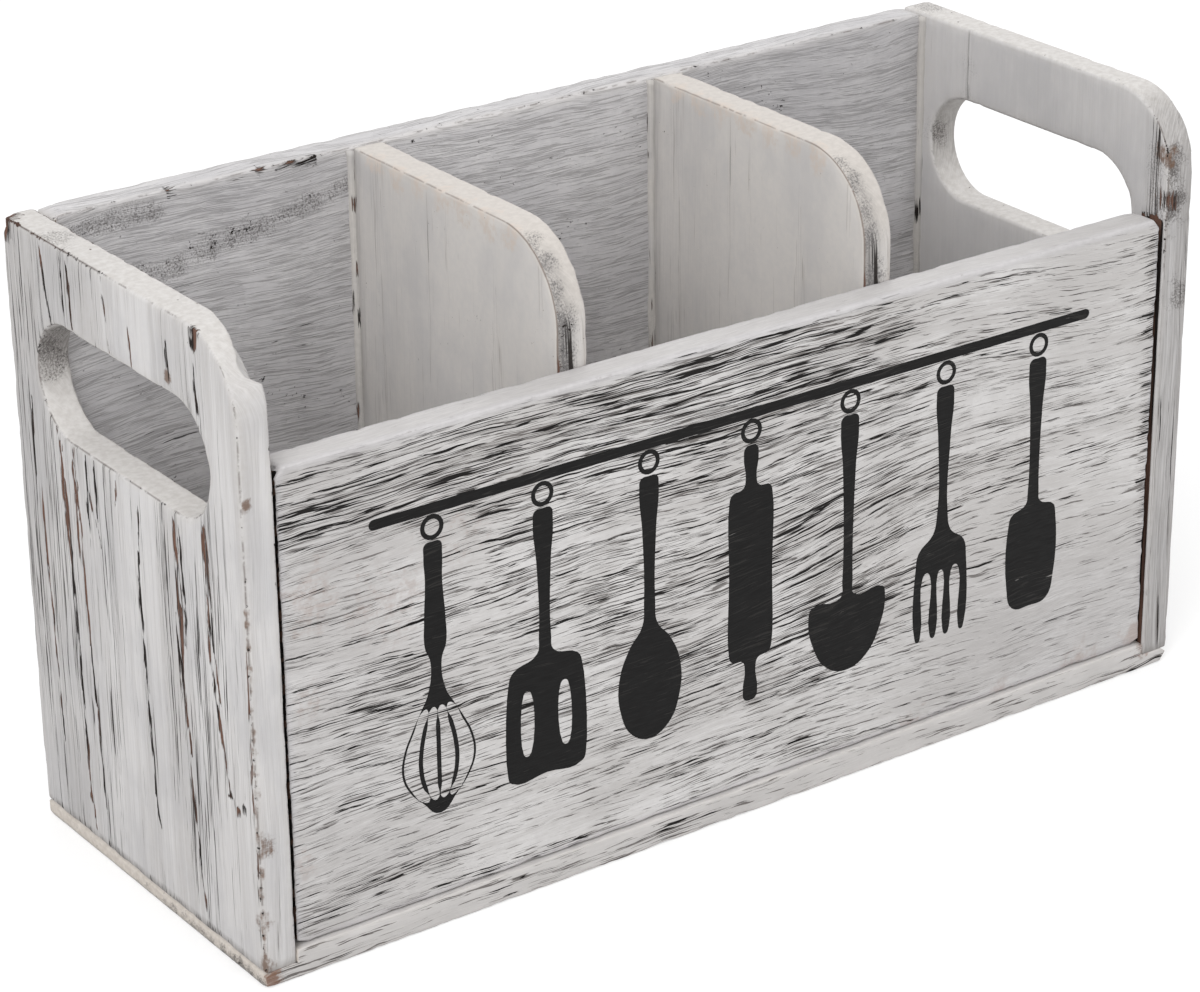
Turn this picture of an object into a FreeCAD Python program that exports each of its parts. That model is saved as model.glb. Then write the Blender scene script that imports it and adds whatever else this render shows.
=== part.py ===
import FreeCAD, Part
import math
import os
import Sketcher

# An open caddy of painted boards: a bottom board, two sides with hand slots, a front panel, a back
# panel and two dividers, with a filler bead up each inner back corner and headless pins in the joints.
# Millimetres, +Z up. The origin is the centre of the underside, +X runs to the right as seen from the
# front and +Y to the back.

dimensions = {
    "overall_width": 320.0,
    "overall_depth": 120.0,
    "overall_height": 180.0,
    "side_thickness": 10.0,
    "side_corner_radius": 22.0,
    "back_thickness": 10.0,
    "divider_thickness": 10.0,
    "divider_corner_radius": 25.0,
    "bottom_thickness": 8.5,
    "bottom_lip": 4.7,
    "bottom_end_radius": 2.0,
    "front_thickness": 10.0,
    "front_height": 136.5,
    "front_recess": 1.2,
    "front_end_gap": 0.8,
    "front_corner_radius": 4.0,
    "slot_length": 89.0,
    "slot_height": 32.0,
    "slot_drop": 39.0,
    "edge_ease": 0.8,
    "bead_leg": 2.2,
    "bead_drop": 1.0,
    "pin_diameter": 1.2,
    "pin_length": 25.0,
    "pin_point": 2.0,
    "pin_tip_diameter": 0.3,
    "pin_sink": 0.5,
    "pin_clearance": 0.02,
    "pin_margin": 20.0,
    "pin_crossing_gap": 3.6,
}

front_pin_count = 3
back_pin_count = 4
long_pin_count = 4
side_pin_count = 3
divider_pin_count = 3
same_place = 1e-4
volume_tolerance = 0.01

doc = FreeCAD.newDocument("utensil_caddy")
sheet = doc.addObject("Spreadsheet::Sheet", "sizes")
for row, (alias, number) in enumerate(dimensions.items(), start=1):
    sheet.set(f"A{row}", alias)
    sheet.set(f"B{row}", str(number))
    sheet.setAlias(f"B{row}", alias)
doc.recompute()

# Places that several pieces share, as expressions on the sheet.
half_width = "(sizes.overall_width / 2)"
half_depth = "(sizes.overall_depth / 2)"
inner_width = "(sizes.overall_width - 2 * sizes.side_thickness)"
side_middle = f"({half_width} - sizes.side_thickness / 2)"
bay_floor = "sizes.bottom_thickness"
bay_height = f"(sizes.overall_height - {bay_floor})"
bay_width = f"(({inner_width} - 2 * sizes.divider_thickness) / 3)"
front_face = f"(sizes.front_recess - {half_depth})"
front_middle = f"({front_face} + sizes.front_thickness / 2)"
front_inner = f"({front_face} + sizes.front_thickness)"
front_top = f"({bay_floor} + sizes.front_height)"
back_inner = f"({half_depth} - sizes.back_thickness)"
back_middle = f"({half_depth} - sizes.back_thickness / 2)"
bay_depth = f"({back_inner} - {front_inner})"
left_wall = f"(-{inner_width} / 2)"
left_divider_left = f"({left_wall} + {bay_width})"
left_divider_right = f"({left_divider_left} + sizes.divider_thickness)"
right_divider_left = f"({left_divider_right} + {bay_width})"
right_divider_right = f"({right_divider_left} + sizes.divider_thickness)"
right_wall = f"({inner_width} / 2)"
above_bottom_pins = "(sizes.pin_sink + sizes.pin_length + sizes.pin_crossing_gap)"

pieces = []
holes_in = {}


def move_to(item, x, y, z):
    item.setExpression("Placement.Base.x", x)
    item.setExpression("Placement.Base.y", y)
    item.setExpression("Placement.Base.z", z)


def new_sketch(body, plane_role, name):
    plane = next(item for item in body.Origin.OriginFeatures if item.Role == plane_role)
    sketch = body.newObject("Sketcher::SketchObject", name)
    sketch.AttachmentSupport = [(plane, "")]
    sketch.MapMode = "FlatFace"
    return sketch


def hold(sketch, geometry, point, across, up):
    """Ties a sketch point to its coordinates. None puts it on the axis."""
    for kind, axis, place in (("DistanceX", -2, across), ("DistanceY", -1, up)):
        if place is None:
            sketch.addConstraint(Sketcher.Constraint("PointOnObject", geometry, point, axis))
            continue
        index = sketch.addConstraint(Sketcher.Constraint(kind, -1, 1, geometry, point, 1.0))
        sketch.setExpression(f"Constraints[{index}]", place)


def draw_outline(sketch, corners):
    """A closed outline that starts as a regular figure. Its constraints then place the corners."""
    count = len(corners)
    turn = 2 * math.pi / count
    start = [FreeCAD.Vector(math.cos(turn * i), math.sin(turn * i), 0) for i in range(count)]
    for i in range(count):
        sketch.addGeometry(Part.LineSegment(start[i], start[(i + 1) % count]))
    for i in range(count):
        sketch.addConstraint(Sketcher.Constraint("Coincident", i, 2, (i + 1) % count, 1))
    for i, (across, up) in enumerate(corners):
        hold(sketch, i, 1, across, up)


def rectangle(width, height):
    return [(None, None), (width, None), (width, height), (None, height)]


def pad_outline(name, plane_role, corners, length, backwards=False):
    body = doc.addObject("PartDesign::Body", name)
    sketch = new_sketch(body, plane_role, f"{name}_outline")
    draw_outline(sketch, corners)
    pad = body.newObject("PartDesign::Pad", f"{name}_pad")
    pad.Profile = sketch
    pad.Reversed = backwards
    pad.setExpression("Length", length)
    return body


def round_edges(body, name, radius, chosen):
    """Rounds the edges for which chosen(edge box, body box) is true."""
    doc.recompute()
    base = body.Tip
    whole = base.Shape.BoundBox
    names = [f"Edge{i}" for i, edge in enumerate(base.Shape.Edges, start=1)
             if chosen(edge.BoundBox, whole)]
    fillet = body.newObject("PartDesign::Fillet", name)
    fillet.Base = (base, names)
    fillet.setExpression("Radius", radius)


def near(a, b):
    return abs(a - b) < same_place


def front_top_corner(edge, whole):
    return near(edge.YMax, whole.YMin) and near(edge.ZMin, whole.ZMax)


def top_end_corner(edge, whole):
    return near(edge.ZMin, whole.ZMax) and (near(edge.XMax, whole.XMin) or near(edge.XMin, whole.XMax))


def low_end_corner(edge, whole):
    return near(edge.ZMax, whole.ZMin) and (near(edge.XMax, whole.XMin) or near(edge.XMin, whole.XMax))


def on_board_faces_x(edge, whole):
    return near(edge.XMin, edge.XMax) and edge.ZMax > whole.ZMin + same_place


def on_board_faces_y(edge, whole):
    return near(edge.YMin, edge.YMax) and edge.ZMax > whole.ZMin + same_place


def on_top_face(edge, whole):
    return near(edge.ZMin, whole.ZMax) and near(edge.YMin, edge.YMax)


def cut_hand_slot(body, name):
    """A slot with round ends, right through the board, centred on its depth."""
    half_straight = (dimensions["slot_length"] - dimensions["slot_height"]) / 2
    radius = dimensions["slot_height"] / 2
    middle = dimensions["overall_depth"] / 2
    level = dimensions["overall_height"] - dimensions["bottom_lip"] - dimensions["slot_drop"]
    normal = FreeCAD.Vector(0, 0, 1)
    front_end = FreeCAD.Vector(middle - half_straight, level, 0)
    rear_end = FreeCAD.Vector(middle + half_straight, level, 0)
    rise = FreeCAD.Vector(0, radius, 0)
    sketch = new_sketch(body, "YZ_Plane", f"{name}_outline")
    front_arc = sketch.addGeometry(
        Part.ArcOfCircle(Part.Circle(front_end, normal, radius), math.pi / 2, 3 * math.pi / 2))
    lower_line = sketch.addGeometry(Part.LineSegment(front_end - rise, rear_end - rise))
    rear_arc = sketch.addGeometry(
        Part.ArcOfCircle(Part.Circle(rear_end, normal, radius), -math.pi / 2, math.pi / 2))
    upper_line = sketch.addGeometry(Part.LineSegment(rear_end + rise, front_end + rise))
    ring = [front_arc, lower_line, rear_arc, upper_line]
    for first, second in zip(ring, ring[1:] + ring[:1]):
        sketch.addConstraint(Sketcher.Constraint("Tangent", first, 2, second, 1))
    sketch.addConstraint(Sketcher.Constraint("Equal", front_arc, rear_arc))
    sketch.addConstraint(Sketcher.Constraint("Horizontal", front_arc, 3, rear_arc, 3))
    index = sketch.addConstraint(Sketcher.Constraint("Radius", front_arc, radius))
    sketch.setExpression(f"Constraints[{index}]", "sizes.slot_height / 2")
    index = sketch.addConstraint(
        Sketcher.Constraint("DistanceX", front_arc, 3, rear_arc, 3, 2 * half_straight))
    sketch.setExpression(f"Constraints[{index}]", "sizes.slot_length - sizes.slot_height")
    hold(sketch, front_arc, 3, f"{half_depth} - (sizes.slot_length - sizes.slot_height) / 2",
         "sizes.overall_height - sizes.bottom_lip - sizes.slot_drop")
    doc.recompute()
    before = body.Shape.Volume
    pocket = body.newObject("PartDesign::Pocket", name)
    pocket.Profile = sketch
    pocket.Type = "ThroughAll"
    pocket.Reversed = True
    doc.recompute()
    area = 2 * half_straight * dimensions["slot_height"] + math.pi * radius ** 2
    removed = before - body.Shape.Volume
    if not math.isclose(removed, area * dimensions["side_thickness"], rel_tol=volume_tolerance):
        raise ValueError(f"{name} removed {removed:.1f} cubic mm")


# Boards

def make_side(name, left_face):
    body = pad_outline(f"{name}_blank", "YZ_Plane",
                       rectangle("sizes.overall_depth", "sizes.overall_height - sizes.bottom_lip"),
                       "sizes.side_thickness")
    round_edges(body, f"{name}_corner", "sizes.side_corner_radius", front_top_corner)
    cut_hand_slot(body, f"{name}_slot")
    round_edges(body, f"{name}_ease", "sizes.edge_ease", on_board_faces_x)
    move_to(body, left_face, f"-{half_depth}", "sizes.bottom_lip")
    return body


def make_divider(name, left_face):
    body = pad_outline(f"{name}_blank", "YZ_Plane", rectangle(bay_depth, bay_height),
                       "sizes.divider_thickness")
    round_edges(body, f"{name}_corner", "sizes.divider_corner_radius", front_top_corner)
    round_edges(body, f"{name}_ease", "sizes.edge_ease", on_board_faces_x)
    move_to(body, left_face, front_inner, bay_floor)
    return body


def make_bottom():
    rabbet = "sizes.side_thickness"
    shoulder = "sizes.overall_width - sizes.side_thickness"
    corners = [
        (None, None),
        ("sizes.overall_width", None),
        ("sizes.overall_width", "sizes.bottom_lip"),
        (shoulder, "sizes.bottom_lip"),
        (shoulder, "sizes.bottom_thickness"),
        (rabbet, "sizes.bottom_thickness"),
        (rabbet, "sizes.bottom_lip"),
        (None, "sizes.bottom_lip"),
    ]
    body = pad_outline("bottom_board_blank", "XZ_Plane", corners, "sizes.overall_depth", backwards=True)
    round_edges(body, "bottom_board_ends", "sizes.bottom_end_radius", low_end_corner)
    move_to(body, f"-{half_width}", f"-{half_depth}", "0")
    return body


def make_front():
    width = f"{inner_width} - 2 * sizes.front_end_gap"
    body = pad_outline("front_panel_blank", "XZ_Plane", rectangle(width, "sizes.front_height"),
                       "sizes.front_thickness", backwards=True)
    round_edges(body, "front_panel_corners", "sizes.front_corner_radius", top_end_corner)
    round_edges(body, "front_panel_ease", "sizes.edge_ease", on_board_faces_y)
    move_to(body, f"{left_wall} + sizes.front_end_gap", front_face, bay_floor)
    return body


def make_back():
    body = pad_outline("back_panel_blank", "XZ_Plane", rectangle(inner_width, bay_height),
                       "sizes.back_thickness", backwards=True)
    round_edges(body, "back_panel_ease", "sizes.edge_ease", on_top_face)
    move_to(body, left_wall, back_inner, bay_floor)
    return body


boards = {
    "bottom_board": make_bottom(),
    "left_side": make_side("left_side", f"-{half_width}"),
    "right_side": make_side("right_side", right_wall),
    "front_panel": make_front(),
    "back_panel": make_back(),
    "left_divider": make_divider("left_divider", left_divider_left),
    "right_divider": make_divider("right_divider", right_divider_left),
}


# Filler beads

def make_bead(name, corner_x, turn):
    """A three-cornered bead in an inner back corner. Its legs lie on the back panel and the wall."""
    body = pad_outline(name, "XY_Plane",
                       [(None, None), ("sizes.bead_leg", None), (None, "sizes.bead_leg")],
                       f"{bay_height} - sizes.bead_drop")
    body.Placement.Rotation = FreeCAD.Rotation(FreeCAD.Vector(0, 0, 1), turn)
    move_to(body, corner_x, back_inner, bay_floor)
    pieces.append(body)


corner_on_left = -90
corner_on_right = 180
for bay, left, right in (("left_bay", left_wall, left_divider_left),
                         ("middle_bay", left_divider_right, right_divider_left),
                         ("right_bay", right_divider_right, right_wall)):
    make_bead(f"{bay}_left_bead", left, corner_on_left)
    make_bead(f"{bay}_right_bead", right, corner_on_right)


# Pins

def spread(first, last, count):
    """Places from first to last, evenly spaced."""
    return [f"{first} + ({last} - {first}) * {i} / {count - 1}" for i in range(count)]


def new_solid(kind, name, way, entry, start):
    """A round solid whose axis runs along way, from a place that lies start past the entry point."""
    solid = doc.addObject(kind, name)
    solid.Placement.Rotation = FreeCAD.Rotation(FreeCAD.Vector(0, 0, 1), FreeCAD.Vector(*way))
    move_to(solid, *[f"{place} + {step} * {start}" for place, step in zip(entry, way)])
    return solid


def make_pin(name, way, entry):
    shank = new_solid("Part::Cylinder", f"{name}_shank", way, entry, "sizes.pin_sink")
    shank.setExpression("Radius", "sizes.pin_diameter / 2")
    shank.setExpression("Height", "sizes.pin_length - sizes.pin_point")
    point = new_solid("Part::Cone", f"{name}_point", way, entry,
                      "(sizes.pin_sink + sizes.pin_length - sizes.pin_point)")
    point.setExpression("Radius1", "sizes.pin_diameter / 2")
    point.setExpression("Radius2", "sizes.pin_tip_diameter / 2")
    point.setExpression("Height", "sizes.pin_point")
    pin = doc.addObject("Part::Fuse", name)
    pin.Base = shank
    pin.Tool = point
    return pin


def make_hole(name, way, entry):
    hole = new_solid("Part::Cylinder", name, way, entry, "0")
    hole.setExpression("Radius", "sizes.pin_diameter / 2 + sizes.pin_clearance")
    hole.setExpression("Height", "sizes.pin_sink + sizes.pin_length + sizes.pin_clearance")
    return hole


def pin_joint(name, board_names, way, entries):
    """Pins that join two boards, as one piece of separate solids, and their holes in both boards."""
    pins = []
    for number, entry in enumerate(entries, start=1):
        pins.append(make_pin(f"{name}_{number}", way, entry))
        hole = make_hole(f"{name}_hole_{number}", way, entry)
        for board_name in board_names:
            holes_in.setdefault(board_name, []).append(hole)
    group = doc.addObject("Part::Compound", name)
    group.Links = pins
    pieces.append(group)


to_right = (1, 0, 0)
to_left = (-1, 0, 0)
to_front = (0, -1, 0)
upward = (0, 0, 1)
front_pin_levels = spread(above_bottom_pins, f"({front_top} - sizes.pin_margin)", front_pin_count)
back_pin_levels = spread(above_bottom_pins, "(sizes.overall_height - sizes.pin_margin)", back_pin_count)
long_row = spread(f"({left_wall} + sizes.pin_margin)", f"({right_wall} - sizes.pin_margin)",
                  long_pin_count)
side_row = spread(f"(sizes.pin_margin - {half_depth})", f"({half_depth} - sizes.pin_margin)",
                  side_pin_count)
divider_row = spread(f"({front_inner} + sizes.pin_margin)", f"({back_inner} - sizes.pin_margin)",
                     divider_pin_count)

for side, way, outer_face, sign in (("left_side", to_right, f"-{half_width}", "-"),
                                    ("right_side", to_left, half_width, "")):
    pin_joint(f"{side}_front_pins", (side, "front_panel"), way,
              [(outer_face, front_middle, level) for level in front_pin_levels])
    pin_joint(f"{side}_back_pins", (side, "back_panel"), way,
              [(outer_face, back_middle, level) for level in back_pin_levels])
    pin_joint(f"bottom_{side}_pins", ("bottom_board", side), upward,
              [(f"{sign}{side_middle}", place, "0") for place in side_row])

pin_joint("bottom_front_pins", ("bottom_board", "front_panel"), upward,
          [(place, front_middle, "0") for place in long_row])
pin_joint("bottom_back_pins", ("bottom_board", "back_panel"), upward,
          [(place, back_middle, "0") for place in long_row])

for divider, left_face in (("left_divider", left_divider_left), ("right_divider", right_divider_left)):
    middle = f"({left_face} + sizes.divider_thickness / 2)"
    pin_joint(f"{divider}_bottom_pins", ("bottom_board", divider), upward,
              [(middle, place, "0") for place in divider_row])
    pin_joint(f"{divider}_back_pins", ("back_panel", divider), to_front,
              [(middle, half_depth, level) for level in back_pin_levels])

for board_name, body in boards.items():
    holes = doc.addObject("Part::Compound", f"{board_name}_holes")
    holes.Links = holes_in[board_name]
    drilled = doc.addObject("Part::Cut", board_name)
    drilled.Base = body
    drilled.Tool = holes
    pieces.append(drilled)

doc.recompute()

for item in doc.Objects:
    if "Invalid" in item.State or "Error" in item.State:
        raise ValueError(f"{item.Label} failed: {item.State}")
for piece in pieces:
    if piece.Shape.isNull() or not piece.Shape.isValid():
        raise ValueError(f"{piece.Label} has no valid shape")

os.makedirs("parts", exist_ok=True)
for piece in pieces:
    piece.Shape.exportStep(f"parts/{piece.Label}.step")
    box = piece.Shape.optimalBoundingBox(False)
    print(f"{piece.Label}: {len(piece.Shape.Solids)} solids, {piece.Shape.Volume:.1f} cubic mm, "
          f"x {box.XMin:.2f} to {box.XMax:.2f}, y {box.YMin:.2f} to {box.YMax:.2f}, "
          f"z {box.ZMin:.2f} to {box.ZMax:.2f}")
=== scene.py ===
import math
from functools import partial

import bmesh
import bpy
from mathutils import Matrix, Vector, noise
from mathutils.bvhtree import BVHTree


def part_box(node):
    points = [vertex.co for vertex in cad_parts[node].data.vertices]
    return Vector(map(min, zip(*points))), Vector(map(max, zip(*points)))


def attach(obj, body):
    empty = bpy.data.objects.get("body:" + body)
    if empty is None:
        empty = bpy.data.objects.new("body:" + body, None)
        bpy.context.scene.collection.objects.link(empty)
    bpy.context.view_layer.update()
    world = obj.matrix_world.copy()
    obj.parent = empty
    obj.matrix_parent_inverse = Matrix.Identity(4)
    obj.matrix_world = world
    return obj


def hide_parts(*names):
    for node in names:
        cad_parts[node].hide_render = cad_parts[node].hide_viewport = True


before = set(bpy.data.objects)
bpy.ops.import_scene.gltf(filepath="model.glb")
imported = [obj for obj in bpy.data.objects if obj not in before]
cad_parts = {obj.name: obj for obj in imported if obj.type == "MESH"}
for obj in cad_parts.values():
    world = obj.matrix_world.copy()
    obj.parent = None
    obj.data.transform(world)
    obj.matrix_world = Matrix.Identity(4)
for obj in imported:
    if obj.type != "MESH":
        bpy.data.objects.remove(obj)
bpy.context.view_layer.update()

scene = bpy.context.scene
mm = 0.001
print("frame loaded,", len(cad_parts), "nodes")


# small helpers for shapes and noise

def tone(*levels):
    lin = [((v / 255 + 0.055) / 1.055) ** 2.4 for v in levels]
    return (lin[0], lin[1], lin[2], 1.0)


def ease(low, high, value):
    t = min(1.0, max(0.0, (value - low) / (high - low)))
    return t * t * (3 - 2 * t)


def hump(value, middle, half):
    return math.exp(-((value - middle) / half) ** 2)


def wob(x, y, z):
    return noise.noise(Vector((x, y, z)))


def boxGap(a, b, shape):  # signed distance from a rounded rectangle, negative inside
    low, high = shape["low"], shape["high"]
    x = a - (low[0] + high[0]) / 2
    y = b - (low[1] + high[1]) / 2
    r = shape["corners"][(1 if x > 0 else 0) + (2 if y > 0 else 0)]
    qx = abs(x) - (high[0] - low[0]) / 2 + r
    qy = abs(y) - (high[1] - low[1]) / 2 + r
    return min(max(qx, qy), 0.0) + math.hypot(max(qx, 0.0), max(qy, 0.0)) - r


def slotGap(a, b, slot):
    reach = max(0.0, abs(a) - slot["half"])
    return math.hypot(reach, b - slot["height"]) - slot["radius"]


def slopeOf(gap, a, b):  # direction straight out of the outline
    h = 0.05
    n = Vector((gap(a + h, b) - gap(a - h, b), gap(a, b + h) - gap(a, b - h)))
    return n.normalized() if n.length > 1e-9 else Vector((1.0, 0.0))


# a board grown from a grid: trimmed to its outline, walled, closed and then worn
# on every board a and b run over its face and c into its thickness, in mm
wearRule = {
    "edgeBlend": 0.35,  # mm in which a face turns into an edge
    "coverPull": 4.0,  # how much a zone's cover adds to the dashes
    "streakDeep": 0.45,
    "streakBreak": 0.8,  # how far noise breaks up a drawn streak
    "rubReach": 1.7,  # mm that rubbing reaches in from an arris
    "rimUnit": 1.2}  # arris distance that the wash reads at the end of the rounding


def boardBlank(plan):
    bm = bmesh.new()
    low, high, soft, gap = plan["low"], plan["high"], plan["soft"], plan["gap"]
    span = [high[i] - low[i] - 2 * soft for i in (0, 1)]
    steps = [max(2, round(span[i] / plan["cell"][i])) for i in (0, 1)]
    bmesh.ops.create_grid(bm, x_segments=steps[0], y_segments=steps[1], size=1.0)
    wide = 2 * max(v.co.x for v in bm.verts)
    bmesh.ops.scale(bm, vec=(span[0] / wide, span[1] / wide, 1.0), verts=bm.verts)
    middle = ((low[0] + high[0]) / 2, (low[1] + high[1]) / 2, 0.0)
    bmesh.ops.translate(bm, vec=middle, verts=bm.verts)
    spare = 0.4 * min(plan["cell"]) - soft  # points this little outside are kept and pulled in
    outside = [v for v in bm.verts if gap(v.co.x, v.co.y) > spare]
    bmesh.ops.delete(bm, geom=outside, context="VERTS")
    loose = [v for v in bm.verts if not v.link_faces]
    bmesh.ops.delete(bm, geom=loose, context="VERTS")
    for turn in range(3):  # pull the cut edge onto the outline
        for v in bm.verts:
            far = gap(v.co.x, v.co.y) + soft
            if v.is_boundary or far > 0:
                n = slopeOf(gap, v.co.x, v.co.y)
                v.co.x -= n.x * far
                v.co.y -= n.y * far
    return bm


def boardWalls(bm, plan):
    soft, thick, gap = plan["soft"], plan["thick"], plan["gap"]
    face = list(bm.faces)
    ring = [e for e in bm.edges if e.is_boundary]
    start = {}
    for e in ring:
        for v in e.verts:
            start[v] = (v.co.copy(), slopeOf(gap, v.co.x, v.co.y))
    rounds = [math.radians(90 * k / plan["turns"]) for k in range(1, plan["turns"] + 1)]
    course = [(soft * math.sin(r), soft * (1 - math.cos(r))) for r in rounds]
    rows = max(1, round((thick - 2 * soft) / plan["cell"][2]))
    course += [(soft, soft + (thick - 2 * soft) * k / rows) for k in range(1, rows)]
    course += [(soft * math.cos(r), thick - soft * (1 - math.sin(r))) for r in [0.0] + rounds]
    for off, depth in course:
        made = bmesh.ops.extrude_edge_only(bm, edges=ring)["geom"]
        fresh = {g for g in made if isinstance(g, bmesh.types.BMVert)}
        carried = {}
        for v in fresh:
            old = next(e.other_vert(v) for e in v.link_edges if e.other_vert(v) in start)
            point, n = start[old]
            v.co = (point.x + n.x * off, point.y + n.y * off, depth)
            carried[v] = start[old]
        start = carried
        ring = [e for v in fresh for e in v.link_edges if e.other_vert(v) in fresh]
        ring = list(set(ring))
    twin = bmesh.ops.duplicate(bm, geom=face)["geom"]
    lid = [g for g in twin if isinstance(g, bmesh.types.BMVert)]
    bmesh.ops.translate(bm, vec=(0, 0, thick), verts=lid)
    bmesh.ops.remove_doubles(bm, verts=bm.verts, dist=0.002)
    bmesh.ops.recalc_face_normals(bm, faces=bm.faces)


def spineDepth(spines, along, across):  # 1 on the middle of a drawn streak, 0 at its ragged edge
    best = -1.0
    for half, points in spines:
        for (y0, z0), (y1, z1) in zip(points, points[1:]):
            if z1 <= along <= z0:
                t = (z0 - along) / max(0.01, z0 - z1)
                off = across - (y0 + (y1 - y0) * t) + 0.6 * wob(along / 8, y0, 3.1)
                end = min(1.0, (points[0][1] - along) / 6, (along - points[-1][1]) / 9)
                wide = half * (0.4 + 0.6 * max(0.0, end)) * (0.8 + 0.5 * wob(along / 6, y0, 8.8))
                best = max(best, 1.0 - abs(off) / max(0.12, wide))
    return best


def wearLayers(bm):  # point attributes that the wash material reads
    return [bm.verts.layers.float_vector.new(label) for label in ("grain", "worn", "zone", "blot")]


def boardWear(bm, plan):
    grainLayer, wornLayer, zoneLayer, blotLayer = wearLayers(bm)
    gap, thick, seed = plan["gap"], plan["thick"], plan["seed"]
    long, wide = plan["dash"]
    bm.normal_update()
    moves = []
    for v in bm.verts:
        a, b, c = v.co
        inside = max(0.0, -gap(a, b))
        skin = max(0.0, min(c, thick - c))
        arris = inside + skin
        edgeFace = ease(-wearRule["edgeBlend"], wearRule["edgeBlend"], skin - inside)
        along, across = plan["flow"](a, b, c)
        n = slopeOf(gap, a, b) if edgeFace > 0 else Vector((0.0, 0.0))
        endCut = edgeFace * max(abs(n[plan["grainAxis"]]), plan["sealed"](a, b))
        cover, wear, grey = plan["zones"](a, b, c, edgeFace)
        dash = wob(along / long, across / wide, seed + 0.45 * c)
        dash += 0.55 * wob(along / long * 2.3, across / wide * 2.1, seed + 5 + 0.6 * c)
        dash += wearRule["coverPull"] * cover - plan["sparse"]
        if plan["spines"] and c < 1.0 and edgeFace < 0.5:
            streak = wearRule["streakDeep"] * spineDepth(plan["spines"], b, a)
            dash = max(dash, streak - wearRule["streakBreak"] * max(0.0, wob(b / 6, a / 0.8, seed + 9)))
        ragged = wob(a / 9, b / 9, c / 4 + seed) + 0.6 * wob(a / 3.1, b / 3.1, c / 3 + seed)
        worn = ease(-0.1, 0.55, ragged + 2 * wear)
        lower = plan["wave"] * (0.5 + 0.5 * wob(a / 33, b / 33, c / 8 + seed))
        swell = 0.5 + 0.5 * wob(along / 11, across / 1.6, seed + 2)
        lower += plan["ripple"] * ease(-0.14, -0.08, cover) * swell
        lower += plan["groove"] * ease(0.0, 0.3, dash) * (1 - 0.6 * endCut)
        lower += plan["wornDepth"] * worn * math.exp(-(arris / wearRule["rubReach"]) ** 2)
        for centre, radius, deep, dark in plan["chips"]:
            far = (v.co - Vector(centre)).length / radius
            if far < 1.3:
                bite = ease(0.0, 0.75, 1 - far - 0.25 * wob(a / 1.3, b / 1.3, c / 1.3))
                lower = max(lower, deep * bite)
                dash = max(dash, dark * bite - 0.05)
        stain, smudge = (blotAt(v.co, plan[kind], seed) for kind in ("stains", "smudges"))
        smudge *= max(edgeFace, plan["faceSmudge"])
        v[grainLayer] = (along * plan["stretch"], across * plan["fine"] + c, 0.4 * c)
        v[wornLayer] = (dash, wearRule["rimUnit"] * arris / plan["soft"], endCut)
        v[zoneLayer] = (cover, wear, 0.0)
        v[blotLayer] = (stain, smudge, grey)
        step = v.normal * -lower
        if "bite" in plan:
            step.z += plan["bite"](a, b, c, inside) - c
        moves.append((v, step))
    for v, step in moves:
        v.co += step


def blotAt(point, blots, seed):  # strongest of some soft listed blots
    amount = 0.0
    for centre, radius, full in blots:
        far = (point - Vector(centre)).length / radius
        if far < 1.8:
            far -= 0.5 * wob(point.x / 4, point.y / 4, point.z / 4 + seed)
            amount = max(amount, full * ease(0.0, 1.0, 1.2 - far))
    return amount


def boardPiece(name, plan, material):
    bm = boardBlank(plan)
    boardWalls(bm, plan)
    boardWear(bm, plan)
    bmesh.ops.transform(bm, matrix=plan["place"], verts=bm.verts)
    bmesh.ops.recalc_face_normals(bm, faces=bm.faces)
    for f in bm.faces:
        f.smooth = True
    return settle(bm, name, material, name)


def settle(bm, name, material, node=None):
    mesh = bpy.data.meshes.new(name + "_worn")
    bm.to_mesh(mesh)
    bm.free()
    mesh.materials.append(material)
    piece = bpy.data.objects.new(name + "_worn", mesh)
    scene.collection.objects.link(piece)
    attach(piece, "root")
    if node:
        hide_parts(node)
    print("made", piece.name, len(mesh.polygons), "faces")
    return piece


def upright(x, way):  # a board that stands from front to back, c running along way times x
    return Matrix(((0, 0, way * mm, x * mm), (mm, 0, 0, 0), (0, mm, 0, 0), (0, 0, 0, 1)))


def facing(y, way):  # a board that runs from left to right, c running along way times y
    return Matrix(((mm, 0, 0, 0), (0, 0, way * mm, y * mm), (0, mm, 0, 0), (0, 0, 0, 1)))


# node helpers

def feed(tree, socket, value):
    if isinstance(value, bpy.types.NodeSocket):
        tree.links.new(value, socket)
    else:
        socket.default_value = value


def calc(tree, operation, first, second=0.0, third=0.0):
    node = tree.nodes.new("ShaderNodeMath")
    node.operation = operation
    for socket, value in zip(node.inputs, (first, second, third)):
        feed(tree, socket, value)
    return node.outputs[0]


def ramp(tree, value, low, high, start=0.0, end=1.0):
    node = tree.nodes.new("ShaderNodeMapRange")
    node.interpolation_type = "SMOOTHSTEP"
    for socket, part in zip(node.inputs, (value, low, high, start, end)):
        feed(tree, socket, part)
    return node.outputs[0]


def blend(tree, amount, under, over):
    node = tree.nodes.new("ShaderNodeMix")
    node.data_type = "RGBA"
    feed(tree, node.inputs[0], amount)
    feed(tree, node.inputs[6], under)
    feed(tree, node.inputs[7], over)
    return node.outputs[2]


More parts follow.
